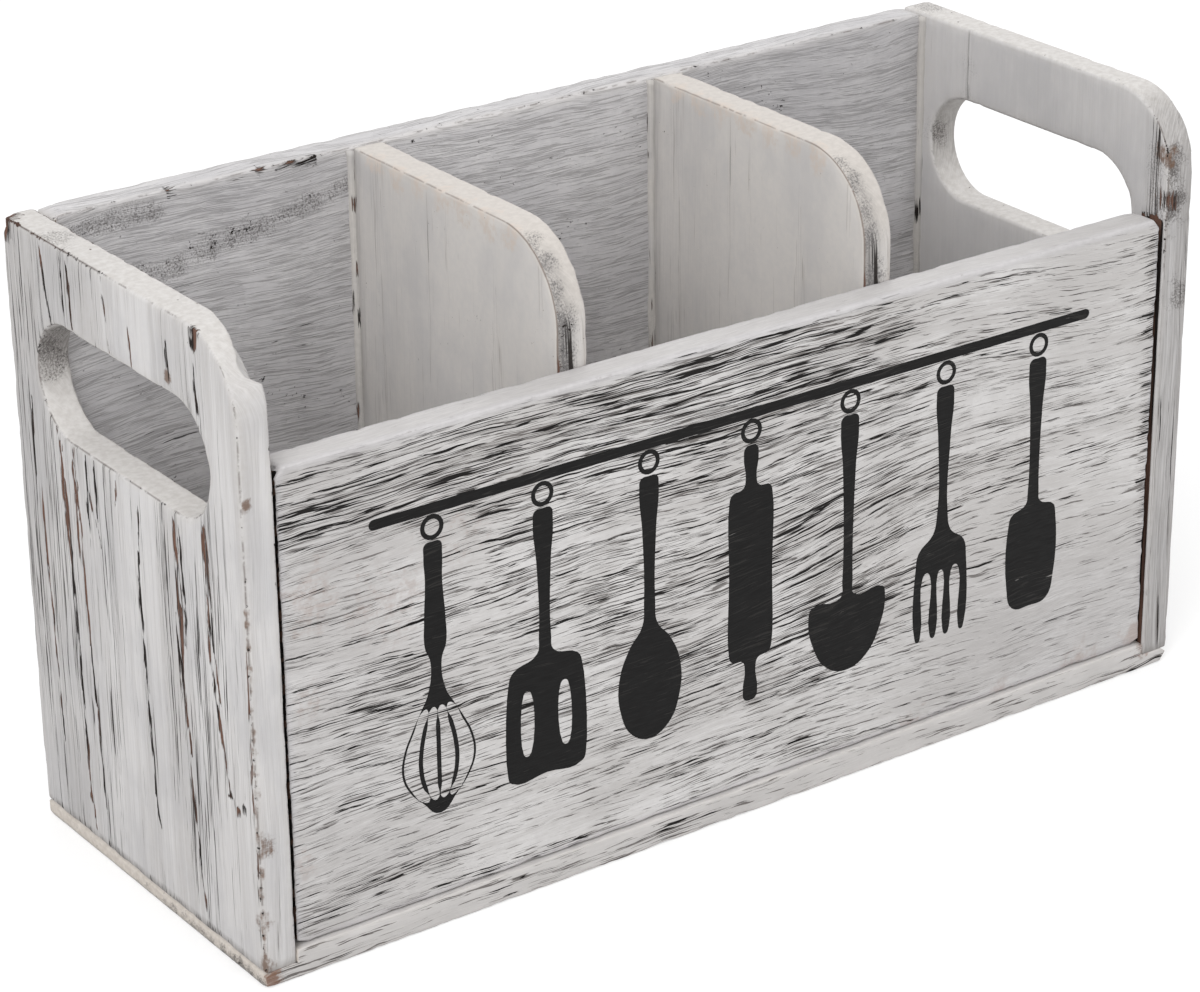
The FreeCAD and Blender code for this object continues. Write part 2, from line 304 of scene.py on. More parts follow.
def cloud(tree, vector, stretch, shift=0.0, detail=2.0, rough=0.5):
    place = tree.nodes.new("ShaderNodeMapping")
    feed(tree, place.inputs["Vector"], vector)
    place.inputs["Scale"].default_value = stretch
    place.inputs["Location"].default_value = (shift, shift * 0.7, shift * 1.3)
    node = tree.nodes.new("ShaderNodeTexNoise")
    tree.links.new(place.outputs[0], node.inputs["Vector"])
    node.inputs["Scale"].default_value = 1.0
    node.inputs["Detail"].default_value = detail
    node.inputs["Roughness"].default_value = rough
    return node.outputs[0]


def attribute(tree, label):
    node = tree.nodes.new("ShaderNodeAttribute")
    node.attribute_name = label
    return node.outputs["Vector"]


def split(tree, vector):
    node = tree.nodes.new("ShaderNodeSeparateXYZ")
    tree.links.new(vector, node.inputs[0])
    return node.outputs


def paintBase(name):  # a fresh material, its tree and its shader
    mat = bpy.data.materials.new(name)
    mat.use_nodes = True
    return mat, mat.node_tree, mat.node_tree.nodes["Principled BSDF"]


def nodeGroup(name, takes, gives):
    group = bpy.data.node_groups.new(name, "ShaderNodeTree")
    for label, kind, value in takes:
        socket = group.interface.new_socket(label, in_out="INPUT", socket_type="NodeSocket" + kind)
        if value is not None:
            socket.default_value = value
    for label in gives:
        group.interface.new_socket(label, in_out="OUTPUT", socket_type="NodeSocketFloat")
    first = group.nodes.new("NodeGroupInput")
    last = group.nodes.new("NodeGroupOutput")
    return group, first.outputs, last.inputs


def useGroup(tree, group, **values):
    node = tree.nodes.new("ShaderNodeGroup")
    node.node_tree = group
    for label, value in values.items():
        feed(tree, node.inputs[label], value)
    return node.outputs


# hairGrain: long hair lines and bolder broken dashes along the grain, a streaky tone, a fine fray
hairGrain, taken, given = nodeGroup(
    "hairGrain", [("Vector", "Vector", None), ("Cover", "Float", 0.0), ("Hairs", "Float", 0.0)],
    ["Hair", "Dash", "Tone", "Fray"])
parts = split(hairGrain, taken["Vector"])
sway = cloud(hairGrain, taken["Vector"], (0.08, 0.14, 0.1), 91.0, 2.0, 0.55)
wavy = calc(hairGrain, "MULTIPLY_ADD", calc(hairGrain, "SUBTRACT", sway, 0.5), 2.0, parts[1])
joined = hairGrain.nodes.new("ShaderNodeCombineXYZ")
for socket, value in zip(joined.inputs, (parts[0], wavy, parts[2])):
    hairGrain.links.new(value, socket)
lie = joined.outputs[0]
gate = cloud(hairGrain, lie, (0.02, 0.14, 0.1), 11.0, 2.0)
breaks = cloud(hairGrain, lie, (0.075, 0.9, 0.3), 83.0, 3.0, 0.6)
loose = calc(hairGrain, "MULTIPLY_ADD", gate, 0.2, calc(hairGrain, "MULTIPLY", breaks, 0.36))
lineSoft = 0.015
lineKinds = {  # stretch, shift, input that widens the lines, width that shows, most above it
    "Hair": ((0.04, 1.2, 0.3), 3.0, "Hairs", 0.265, 0.05),
    "Dash": ((0.02, 0.68, 0.3), 71.0, "Cover", 0.265, 0.047)}
for out, (stretch, shift, label, least, most) in lineKinds.items():
    line = cloud(hairGrain, lie, stretch, shift, 1.5)
    off = calc(hairGrain, "ABSOLUTE", calc(hairGrain, "SUBTRACT", line, 0.5))
    width = calc(hairGrain, "MINIMUM", calc(hairGrain, "ADD", loose, taken[label]), least + most)
    shown = ramp(hairGrain, calc(hairGrain, "SUBTRACT", width, off), least, least + lineSoft)
    hairGrain.links.new(shown, given[out])
fray = cloud(hairGrain, lie, (0.14, 2.4, 0.9), 53.0, 3.0, 0.65)
slow = cloud(hairGrain, lie, (0.012, 0.3, 0.1), 29.0, 4.0, 0.7)
patch = cloud(hairGrain, lie, (0.02, 0.035, 0.03), 41.0, 2.0)
lift = calc(hairGrain, "MULTIPLY_ADD", fray, 1.0, calc(hairGrain, "ADD", slow, patch))
hairGrain.links.new(ramp(hairGrain, lift, 1.25, 1.75), given["Tone"])
hairGrain.links.new(fray, given["Fray"])

# arrisWear: broken dark chips, a pale rim where the paint builds up, a thin rubbed line on the arris
arrisWear, taken, given = nodeGroup(
    "arrisWear", [("Vector", "Vector", None), ("Arris", "Float", 5.0), ("Wear", "Float", 0.0)],
    ["Chip", "Rim", "Thread"])
near = ramp(arrisWear, taken["Arris"], 0.35, 1.9, 1.0, 0.0)
rag = cloud(arrisWear, taken["Vector"], (0.42, 0.42, 0.42), 7.0, 4.0, 0.68)
lift = calc(arrisWear, "MULTIPLY_ADD", near, 0.42, calc(arrisWear, "ADD", rag, taken["Wear"]))
arrisWear.links.new(ramp(arrisWear, lift, 0.98, 1.05), given["Chip"])
arrisWear.links.new(ramp(arrisWear, taken["Arris"], 0.6, 2.8, 1.0, 0.0), given["Rim"])
run = cloud(arrisWear, taken["Vector"], (0.16, 0.16, 0.16), 31.0, 4.0, 0.7)
core = ramp(arrisWear, taken["Arris"], 0.7, 0.84, 1.0, 0.0)
run = ramp(arrisWear, calc(arrisWear, "ADD", run, taken["Wear"]), 0.48, 0.6)
arrisWear.links.new(calc(arrisWear, "MULTIPLY", core, run), given["Thread"])

# paintSpeck: small dark flecks in drifts, chalky and drifting paint tones, a fine crackle
paintSpeck, taken, given = nodeGroup(
    "paintSpeck", [("Vector", "Vector", None), ("Amount", "Float", 0.0)],
    ["Speck", "Chalk", "Drift", "Crackle"])
dots = cloud(paintSpeck, taken["Vector"], (0.75, 0.95, 0.95), 17.0, 3.5, 0.66)
spread = cloud(paintSpeck, taken["Vector"], (0.04, 0.06, 0.06), 23.0, 2.0)
lift = calc(paintSpeck, "MULTIPLY_ADD", spread, 0.35, calc(paintSpeck, "ADD", dots, taken["Amount"]))
paintSpeck.links.new(ramp(paintSpeck, lift, 0.9, 0.97), given["Speck"])
fine = cloud(paintSpeck, taken["Vector"], (1.9, 1.9, 1.9), 13.0, 2.0, 0.6)
paintSpeck.links.new(fine, given["Crackle"])
chalk = cloud(paintSpeck, taken["Vector"], (0.5, 0.55, 0.55), 37.0, 4.0, 0.6)
paintSpeck.links.new(ramp(paintSpeck, chalk, 0.3, 0.7), given["Chalk"])
drift = cloud(paintSpeck, taken["Vector"], (0.05, 0.05, 0.03), 67.0, 5.0, 0.62)
paintSpeck.links.new(ramp(paintSpeck, drift, 0.4, 0.65), given["Drift"])
print("node groups ready")


# how the layers of whitewash come together, the same on every board
washRule = {
    "hairFromCover": 0.6, "speckFromSmudge": 0.22, "streakCover": (-0.13, -0.08), "toneMiddle": 0.6,
    "endPale": 0.9, "crackleEdge": (0.52, 0.95), "stainEdge": (0.28, 0.72), "bareEdge": (-0.02, 0.1),
    "brownEdge": (0.02, 0.2), "brownWear": (0.12, 0.2), "brownSoft": 0.1, "threadWear": 2.0,
    "bareRough": 0.86, "shine": 0.18, "hairDeep": -0.45, "frayHigh": 0.5, "bump": 0.16}


def washMaterial(name, look):
    mat, tree, skin = paintBase(name)
    lie = attribute(tree, "grain")
    spot = tree.nodes.new("ShaderNodeMapping")
    spot.inputs["Scale"].default_value = (1 / mm, 1 / mm, 1 / mm)
    tree.links.new(tree.nodes.new("ShaderNodeTexCoord").outputs["Object"], spot.inputs["Vector"])
    spot = spot.outputs[0]
    dash, arris, endCut = split(tree, attribute(tree, "worn"))
    cover, wear = split(tree, attribute(tree, "zone"))[:2]
    stain, smudge, grey = split(tree, attribute(tree, "blot"))
    hairShare = calc(tree, "MULTIPLY_ADD", cover, washRule["hairFromCover"], look["hairs"])
    lines = useGroup(tree, hairGrain, Vector=lie, Cover=cover, Hairs=hairShare)
    rubbing = calc(tree, "ADD", wear, look["wear"])
    rims = useGroup(tree, arrisWear, Vector=spot, Arris=arris, Wear=rubbing)
    amount = ramp(tree, endCut, 0.3, 0.7, look["speck"], look["endSpeck"])
    amount = calc(tree, "MULTIPLY_ADD", smudge, washRule["speckFromSmudge"], amount)
    flecks = useGroup(tree, paintSpeck, Vector=spot, Amount=amount)
    longGrain = calc(tree, "SUBTRACT", 1.0, endCut)
    streaky = ramp(tree, cover, *washRule["streakCover"], 0.2, 1.0)
    middle = washRule["toneMiddle"]
    full = calc(tree, "MULTIPLY_ADD", calc(tree, "SUBTRACT", lines["Tone"], middle), streaky, middle)
    paint = blend(tree, full, look["thin"], look["paint"])
    paint = blend(tree, calc(tree, "MULTIPLY", flecks["Chalk"], look["mottle"]), paint, look["mist"])
    paint = blend(tree, calc(tree, "MULTIPLY", flecks["Drift"], look["drift"]), paint, look["shade"])
    hair = calc(tree, "MULTIPLY", lines["Hair"], calc(tree, "MULTIPLY", longGrain, look["hairDark"]))
    paint = blend(tree, hair, paint, look["hair"])
    pale = blend(tree, flecks["Chalk"], look["creamLow"], look["cream"])
    rim = calc(tree, "MAXIMUM", calc(tree, "MULTIPLY", rims["Rim"], look["rim"]),
               calc(tree, "MULTIPLY", endCut, washRule["endPale"]))
    paint = blend(tree, rim, paint, pale)
    # grey mask: rubbed grey in some places, painted shade in the gaps, slot ends, seams and corners
    greyed = calc(tree, "MULTIPLY", grey, ramp(tree, lines["Fray"], 0.35, 0.65, 1.0, 0.5))
    paint = blend(tree, greyed, paint, look["grey"])
    crackle = calc(tree, "MULTIPLY_ADD", smudge, 0.5, flecks["Crackle"])
    crackle = ramp(tree, crackle, *washRule["crackleEdge"])
    crackle = calc(tree, "MULTIPLY", crackle, ramp(tree, smudge, 0.0, 0.3, 0.0, 0.9))
    paint = blend(tree, crackle, paint, look["crackle"])
    ragged = calc(tree, "SUBTRACT", lines["Fray"], 0.5)
    stained = calc(tree, "MULTIPLY_ADD", ragged, look["stainFray"], stain)
    stained = calc(tree, "MULTIPLY_ADD", calc(tree, "SUBTRACT", flecks["Chalk"], 0.5), 0.3, stained)
    stained = calc(tree, "MULTIPLY", ramp(tree, stained, *washRule["stainEdge"]), look["stainDark"])
    paint = blend(tree, stained, paint, look["stain"])
    frayed = calc(tree, "MULTIPLY_ADD", ragged, look["fray"], dash)
    bare = ramp(tree, frayed, *washRule["bareEdge"])
    brownTurn = cloud(tree, lie, (0.035, 0.22, 0.2), 61.0, 2.0)
    brownTurn = ramp(tree, brownTurn, look["brown"], look["brown"] + washRule["brownSoft"])
    brownDeep = calc(tree, "MULTIPLY", brownTurn, ramp(tree, frayed, *washRule["brownEdge"]))
    brownDeep = calc(tree, "MAXIMUM", brownDeep, ramp(tree, wear, *washRule["brownWear"], 0.0, 0.8))
    under = blend(tree, brownDeep, look["dark"], look["bareBrown"])
    short = calc(tree, "MULTIPLY", calc(tree, "MULTIPLY", lines["Dash"], longGrain), look["dashDark"])
    chipped = calc(tree, "MULTIPLY", rims["Chip"], look["chip"])
    dark = calc(tree, "MAXIMUM", calc(tree, "MAXIMUM", bare, short),
                calc(tree, "MAXIMUM", flecks["Speck"], chipped))
    thread = calc(tree, "MULTIPLY_ADD", wear, washRule["threadWear"], look["thread"])
    thread = calc(tree, "MULTIPLY", rims["Thread"], thread)
    paint = blend(tree, thread, paint, look["threadTone"])
    tree.links.new(blend(tree, dark, paint, under), skin.inputs["Base Color"])
    rough = ramp(tree, dark, 0.0, 1.0, look["gloss"], washRule["bareRough"])
    tree.links.new(rough, skin.inputs["Roughness"])
    skin.inputs["Specular IOR Level"].default_value = washRule["shine"]
    height = calc(tree, "MULTIPLY_ADD", dark, -1.0, calc(tree, "MULTIPLY", hair, washRule["hairDeep"]))
    height = calc(tree, "MULTIPLY_ADD", lines["Fray"], washRule["frayHigh"], height)
    bump = tree.nodes.new("ShaderNodeBump")
    bump.inputs["Strength"].default_value = look["relief"]
    bump.inputs["Distance"].default_value = washRule["bump"] * mm
    tree.links.new(height, bump.inputs["Height"])
    tree.links.new(bump.outputs[0], skin.inputs["Normal"])
    return mat


# zones give, by place on a board, the cover of dashes, the wear of the arris and the grey, which is rubbed
# grey in places and painted shade in others
# a spine is a drawn streak: half its width, then points down its length
# a chip is a place, radius, depth and darkness, and a stain or smudge a place, radius and strength
halfBoard = 5.0


def openGrain(a, b):  # no edge sealed
    return 0.0


boardPlan = {
    "thick": 2 * halfBoard, "turns": 4, "sealed": openGrain, "grainAxis": 0, "ripple": 0.05, "stretch": 1.0,
    "faceSmudge": 1.0, "spines": [], "chips": [], "stains": [], "smudges": []}

# sides: upright grain, long worn streaks, rounded front corner, hand slot
sideShape = {"low": (-60.0, 4.1), "high": (60.0, 180.0), "corners": (0.2, 1.6, 22.0, 1.4)}
panelGapShade = {"front": -58.4, "rear": -49.5, "top": 143.0, "cover": 0.35}  # painted shade: a dark strip on each side's inner face, in the gap beside the front panel
slotCut = {"half": 28.5, "height": 141.0, "radius": 16.0}
sideLook = {
    "paint": tone(216, 214, 213), "thin": tone(192, 189, 187), "hair": tone(104, 99, 96),
    "mist": tone(205, 203, 206), "mottle": 0.25, "cream": tone(213, 210, 207),
    "creamLow": tone(197, 193, 189), "dark": tone(36, 31, 29), "bareBrown": tone(112, 84, 72),
    "stain": tone(106, 80, 62), "hairs": 0.0, "hairDark": 0.6, "dashDark": 0.94, "wear": 0.0,
    "rim": 0.35, "speck": -0.13, "endSpeck": -0.03, "fray": 1.3, "brown": 0.43, "gloss": 0.58,
    "relief": 0.8, "grey": tone(126, 122, 120), "stainDark": 0.85, "drift": 0.42,
    "crackle": tone(92, 88, 86), "chip": 1.0, "stainFray": 0.8, "thread": 0.55,
    "threadTone": tone(90, 79, 73), "shade": tone(184, 183, 185)}
leftSpines = [
    (0.9, [(39.5, 178.5), (37.8, 168), (35.3, 155)]), (0.8, [(28.2, 178), (27.6, 158)]),
    (0.9, [(24.4, 177), (23.7, 158)]), (0.6, [(6.0, 179), (5.1, 172), (3.9, 158)]),
    (0.7, [(-7.2, 169), (-7.7, 157)]), (1.1, [(-26.7, 172), (-26.8, 156)]),
    (0.7, [(-40, 178), (-43, 174)]), (0.9, [(-40.2, 169), (-41.3, 150)]),
    (0.6, [(-48.9, 174.6), (-50.2, 169)]), (0.8, [(38, 128), (33.6, 120)]),
    (0.6, [(50, 133), (50.8, 108)]), (0.9, [(35.6, 124), (34.3, 88)]),
    (1.0, [(28.1, 124), (28.6, 90)]), (0.8, [(21.5, 124), (21.6, 97)]),
    (0.9, [(16.9, 124), (16.4, 106)]), (0.7, [(4.4, 124), (6.4, 113)]),
    (0.7, [(-5.9, 119), (-5.3, 103)]), (1.2, [(-24.6, 123.6), (-26.9, 99), (-24.8, 77), (-27.2, 54)]),
    (0.8, [(-26.6, 123), (-28.9, 100), (-27.6, 86)]), (0.7, [(-23.6, 96), (-23.4, 80), (-25.2, 66)]),
    (1.0, [(-26, 52), (-30.3, 9)]), (1.0, [(-40.2, 128), (-40.3, 89), (-42.9, 73), (-46.3, 53)]),
    (0.7, [(-41.8, 126), (-41.9, 96), (-44.2, 76)]),
    (0.9, [(-4.6, 106), (-5, 79), (-6.1, 34), (-7.8, 25)]),
    (0.9, [(33.7, 112), (32.7, 64), (32.2, 18), (29.8, 6)]),
    (0.7, [(27, 114), (25.9, 66), (24.1, 37), (23.8, 17)]),
    (0.7, [(48.3, 106), (46.8, 56), (45.9, 28)]), (0.6, [(21.4, 116), (15.5, 99)]),
    (0.45, [(-58.8, 98), (-58.3, 60), (-58.6, 30), (-58.2, 5)])]


def sideGap(a, b):
    return max(boxGap(a, b, sideShape), -slotGap(a, b, slotCut))


def inPanelGapShade(a, b, c):
    return c > halfBoard and panelGapShade["front"] < a < panelGapShade["rear"] and b < panelGapShade["top"]


def slotSkin(a, b):  # the slot's cut wall takes paint as the end grain does
    return 1.0 if slotGap(a, b, slotCut) < 1.5 else 0.0


def sideFlow(a, b, c):
    return b, a + 0.9 * wob(a / 30, b / 70, 4.0) + 0.25 * wob(a / 6, b / 22, 1.0)


def leftZones(a, b, c, edgeFace):
    wear = 0.04 + 0.12 * ease(0, 35, a) * ease(170, 180, b)
    wear -= 0.06 * ease(0, -20, a) * ease(165, 175, b)
    # painted shade in the gap beside the front panel
    if edgeFace < 0.5 and inPanelGapShade(a, b, c):
        return panelGapShade["cover"], 0.0, 0.0
    if c > halfBoard or edgeFace > 0.5:
        # painted shade: the rounded rear end of the hand slot is greyed
        slotEndShade = 0.85 * ease(32, 42, a) * hump(b, 147, 9)
        return -0.04 - 0.05 * ease(-55, -59, a), wear, edgeFace * (0.05 + slotEndShade)
    rear = 0.02 * ease(-10, 30, a) * ease(15, 60, b)
    under = 0.04 * hump(a, -27, 6) * ease(5, 30, b) + 0.03 * hump(a, -41, 4) * ease(45, 70, b)
    clear = -0.04 * ease(-30, -50, a) * ease(60, 20, b) - 0.02 * ease(150, 165, b) * ease(20, 0, a)
    wear += 0.07 * hump(a, -59.4, 1.6) * ease(105, 80, b)
    foot = ease(6.2, 5.2, b) * (0.7 + 0.5 * wob(a / 4, b / 4, 15.0))
    cover = rear + under + clear + 0.08 * foot + 0.03 * wob(a / 14, b / 40, 9.0) - 0.05
    # the outer face greys towards the back: painted shade
    return cover, wear, max(0.28 * ease(0, 58, a), foot)


def leftBite(a, b, c, inside):  # a piece broken out of the inner arris at the rounded corner
    if b < 158 or a > -24:
        return c
    angle = math.degrees(math.atan2(b - 158, -38 - a))
    deep = (5.2 - 4.4 * (angle - 32) / 58) * ease(26, 36, angle) * ease(112, 92, angle)
    deep *= 1 + 0.16 * wob(a / 2.2, b / 2.2, 7.0)
    return c * (1 - max(0.0, deep) * ease(6.5, 2.0, inside) / 10)


def rightZones(a, b, c, edgeFace):
    high = ease(112, 126, b)
    if edgeFace > 0.5:
        front = ease(-40, -56, a)
        # painted shade: the rounded rear end of the hand slot is greyed
        slotEndShade = 0.7 * ease(32, 42, a) * hump(b, 141, 10)
        return -0.03, -0.09 + 0.16 * ease(124, 136, b) * front * ease(5, 9, c), 0.6 * front + slotEndShade
    # painted shade in the gap beside the front panel
    if inPanelGapShade(a, b, c):
        return panelGapShade["cover"], 0.0, 0.0
    if c > halfBoard:
        strip = 0.22 * hump(a, -55, 4) * high
        back = 0.07 * hump(a, 28, 2.5) * ease(148, 160, b)
        cover = -0.15 + strip + back + 0.03 * wob(a / 16, b / 50, 2.0)
        return cover, 0.21 * ease(-50, -58, a) * high - 0.09, 0.1 * ease(20, -10, a)
    return -0.04 + 0.05 * wob(a / 14, b / 45, 19.0), 0.02, 0.0


sidePlan = {
    **boardPlan, **sideShape, "soft": 1.3, "cell": (0.5, 2.0, 1.3), "gap": sideGap, "flow": sideFlow,
    "sealed": slotSkin, "grainAxis": 1, "dash": (30.0, 2.1), "wave": 0.14, "groove": 0.3,
    "wornDepth": 0.28, "sparse": 0.74, "stretch": 0.38, "fine": 1.35, "faceSmudge": 0.0}
leftSide = dict(
    sidePlan, seed=1.7, zones=leftZones, spines=leftSpines, bite=leftBite, place=upright(-160, 1),
    chips=[((59.0, 178.0, 0.5), 5.0, 0.9, 0.5), ((-41.2, 178.0, 0.2), 2.2, 0.5, 0.5),
           ((-40.6, 175.0, 0.0), 1.9, 0.4, 0.45), ((-47.0, 51.5, 0.0), 1.6, 0.4, 0.3),
           ((-50.5, 48.5, 0.0), 1.5, 0.4, 0.3), ((-53.5, 50.5, 0.0), 1.5, 0.4, 0.3)],
    stains=[((-26.7, 162.0, 0.0), 3.0, 0.8), ((-60.0, 42.0, 2.5), 4.5, 0.62),
            ((-60.0, 138.0, 1.5), 2.0, 0.8), ((-60.0, 20.0, 0.0), 5.0, 0.5), ((-60.0, 6.0, 0.0), 5.0, 0.7)]
    + [((-59.5, 9.0 + 3.0 * k, 0.3), 1.7, 0.58) for k in range(34)],  # down the front arris
    smudges=[((45.0, 147.0, 2.0), 9.0, 0.56), ((43.0, 153.0, 5.0), 8.0, 0.5),
             ((45.0, 141.0, 5.0), 7.0, 0.45), ((-60.0, 42.0, 3.0), 4.0, 0.3),
             ((35.0, 180.0, 2.0), 9.0, 0.35)])
rightSide = dict(
    sidePlan, seed=12.3, zones=rightZones, faceSmudge=0.35, place=upright(160, -1),
    chips=[((-59.0, 150.0, 9.0), 3.5, 0.8, 0.2)],
    stains=[((-58.0, 163.0, 9.8), 5.0, 0.7)],
    smudges=[((44.0, 143.0, 9.0), 7.0, 0.5), ((-57.0, 160.0, 9.8), 9.0, 0.75),
             ((-57.0, 148.0, 9.8), 9.0, 0.8), ((-60.0, 120.0, 1.0), 8.0, 0.5),
             ((28.0, 168.0, 10.0), 6.0, 0.4), ((28.5, 160.0, 10.0), 5.0, 0.4),
             ((54.0, 180.0, 4.0), 8.0, 0.34)])
sideWash = washMaterial("side_wash", sideLook)
boardPiece("left_side", leftSide, sideWash)
boardPiece("right_side", rightSide, sideWash)


# front panel: level grain that swings in waves, short dark dashes
frontShape = {"low": (-149.2, 8.5), "high": (149.2, 145.0), "corners": (1.8, 1.8, 4.0, 4.0)}
frontLook = dict(
    sideLook, paint=tone(220, 218, 217), thin=tone(196, 193, 191), hair=tone(58, 49, 43),
    mist=tone(196, 193, 193), dark=tone(15, 12, 11), bareBrown=tone(80, 60, 50),
    cream=tone(212, 210, 212), creamLow=tone(194, 192, 195), stain=tone(150, 118, 102), hairs=0.02,
    hairDark=0.75, dashDark=0.98, stainDark=0.36, brown=0.5, rim=0.5, wear=-0.08,
    grey=tone(166, 163, 163), drift=0.4, shade=tone(190, 187, 185))


def frontFlow(a, b, c):
    swing = 3.0 * wob(a / 95, b / 50, 2.0) + 0.8 * wob(a / 35, b / 16, 6.0)
    rise = -9 * ease(-25, 80, a) * hump(b, 82, 36)
    fall = 8 * ease(70, 146, a) * ease(92, 120, b)
    return a, b + swing + rise + fall


def frontZones(a, b, c, edgeFace):
    if abs(a) > 149.0 and c < 9:  # painted shade: the ends go dark, in the gaps beside the panel
        return 0.6, 0.0, 0.0
    if edgeFace > 0.5 or c > halfBoard:
        return -0.14, -0.04, 0.48 * edgeFace
    top = (0.03 + 0.055 * ease(-80, -30, a)) * ease(112, 134, b) * ease(70, 10, a)
    top -= 0.12 * ease(142, 144.3, b)
    middle = 0.025 * hump(a, 20, 60) * hump(b, 80, 28)
    right = -0.05 * ease(40, 110, a) - 0.03 * ease(60, 25, b)
    left = -0.02 * ease(-70, -110, a) * ease(75, 95, b) * ease(128, 118, b)
    ticks = 0.3 * ease(142.5, 148, a) * max(0.0, 0.25 + wob(b / 2.2, 1.0, 4.0)) * ease(25, 60, b)
    grey = 0.25 * ease(141, 144, b) + 0.5 * ease(30, 110, a) * ease(70, 25, b)
    grey += 0.3 * ease(-80, -140, a)
    return top + middle + right + left + ticks + 0.03 * wob(a / 40, b / 22, 5.0), 0.0, grey


frontPanel = {
    **boardPlan, **frontShape, "soft": 1.2, "cell": (2.4, 0.5, 1.4), "seed": 31.0,
    "gap": partial(boxGap, shape=frontShape), "flow": frontFlow, "zones": frontZones, "dash": (24.0, 1.5),
    "wave": 0.16, "groove": 0.26, "wornDepth": 0.4, "sparse": 1.15, "fine": 1.45,
    "stains": [((-140.0, 106.0, 0.0), 14.0, 0.46), ((-118.0, 100.0, 0.0), 22.0, 0.4),
               ((-95.0, 112.0, 0.0), 16.0, 0.36), ((-142.0, 78.0, 0.0), 9.0, 0.42),
               ((-147.0, 30.0, 0.0), 10.0, 0.4),
               ((148.0, 10.0, 0.0), 9.0, 0.8), ((125.0, 8.0, 0.0), 12.0, 0.5),
               ((95.0, 7.0, 0.0), 10.0, 0.5), ((60.0, 7.0, 0.0), 9.0, 0.5)],
    "place": facing(-58.8, 1)}
frontWash = washMaterial("front_wash", frontLook)
frontBoard = boardPiece("front_panel", frontPanel, frontWash)


# front design: black kitchen tools hung from a rail, printed over the grain
inkLook = {
    "ink": tone(13, 12, 12), "greyed": tone(52, 50, 48), "bare": tone(176, 173, 170), "rough": (0.55, 0.75),
    "cover": -0.09, "hairs": -0.02, "hairRub": 0.5, "dashRub": 0.6, "shine": 0.2, "relief": 0.5, "bump": 0.1}
inkPlan = {
    "rail": 122.0, "reach": 121.0, "bar": 1.5, "ring": (116.7, 3.6, 2.3), "hang": 112.6, "size": 1.1,
    "pitch": 34.5, "grid": 1.5, "across": (-124, 124), "up": (30, 126), "proud": 0.04, "sunk": 0.5,
    "castFrom": -100.0}
grip = [(0, 0), (2.4, -0.4), (2.9, -3), (2.1, -14)]


def whiskBow(t):  # half width and height of a whisk's wire along its length
    return math.sin(math.pi * t ** 1.6), -31 - 41 * t


def whiskGap(near, far):  # the opening between two wires
    bows = [whiskBow(t) for t in (0.3, 0.42, 0.55, 0.68, 0.8, 0.9)]
    return [(far * w - 0.6, z) for w, z in bows] + [(near * w + 0.6, z) for w, z in reversed(bows)]


toolHalves = {  # right half of each outline, then its openings
    "whisk": ([(0, 0), (2.2, -0.4), (2.6, -3), (2.4, -10), (3.0, -20), (3.0, -27), (1.6, -31)]
              + [(10.6 * w, z) for w, z in map(whiskBow, (0.2, 0.3, 0.42, 0.55, 0.68, 0.8, 0.9))]
              + [(0, -72)], [whiskGap(0.0, 5.2), whiskGap(5.2, 10.6)]),
    "turner": (grip + [(1.8, -34), (2.4, -38), (9.5, -41), (10.7, -43), (11.6, -69), (10.6, -71), (0, -71)],
               [[(4.4, -48), (5.6, -47.2), (6.6, -48), (6.9, -64), (5.8, -65), (4.6, -64)]]),
    "spoon": (grip + [(1.7, -34), (2.3, -40), (6.2, -45), (9.4, -53), (9.0, -62), (5.6, -69),
                      (0, -71.5)], []),
    "pin": ([(0, 0), (1.8, -0.5), (2.3, -3), (1.7, -9), (2.4, -11.2), (6.0, -12.2), (6.8, -14.5),
             (6.8, -35), (6.8, -56), (6.0, -58.2), (2.4, -59.2), (1.7, -61.5), (2.3, -67.5), (1.8, -70),
             (0, -70.6)], []),
    "ladle": (grip + [(1.7, -46), (2.2, -50.2), (11.8, -50.8), (12.6, -53), (11.0, -62), (6.5, -69),
                      (0, -71.5)], []),
    "fork": (grip + [(1.8, -36), (3.0, -41), (7.6, -45), (8.6, -50), (8.5, -69), (7.4, -71), (6.4, -69),
                     (6.2, -53), (4.8, -51.5), (3.5, -53), (3.4, -69), (2.2, -71), (1.1, -69), (1.0, -53),
                     (0, -51.8)], []),
    "scraper": (grip + [(1.9, -38), (2.4, -41), (7.4, -43.4), (8.2, -46), (8.2, -64), (6.0, -70.4),
                        (0, -71.2)], [])}


def inkLoop(curve, points, handle="AUTO"):
    spline = curve.splines.new("BEZIER")
    spline.bezier_points.add(len(points) - 1)
    for knot, (x, z) in zip(spline.bezier_points, points):
        knot.co = (x, z, 0.0)
        knot.handle_left_type = knot.handle_right_type = handle
    spline.use_cyclic_u = True
    spline.resolution_u = 5


def inkRound(curve, x, z, radius):
    inkLoop(curve, [(x + radius * u, z + radius * w) for u, w in ((1, 0), (0, 1), (-1, 0), (0, -1))])


def inkTool(curve, x, half, openings):
    size, top = inkPlan["size"], inkPlan["hang"]
    loop = half + [(-u, w) for u, w in reversed(half) if u]
    inkLoop(curve, [(x + size * u, top + size * w) for u, w in loop])
    for opening in openings:
        for turn in (1, -1):
            inkLoop(curve, [(x + turn * size * u, top + size * w) for u, w in opening])


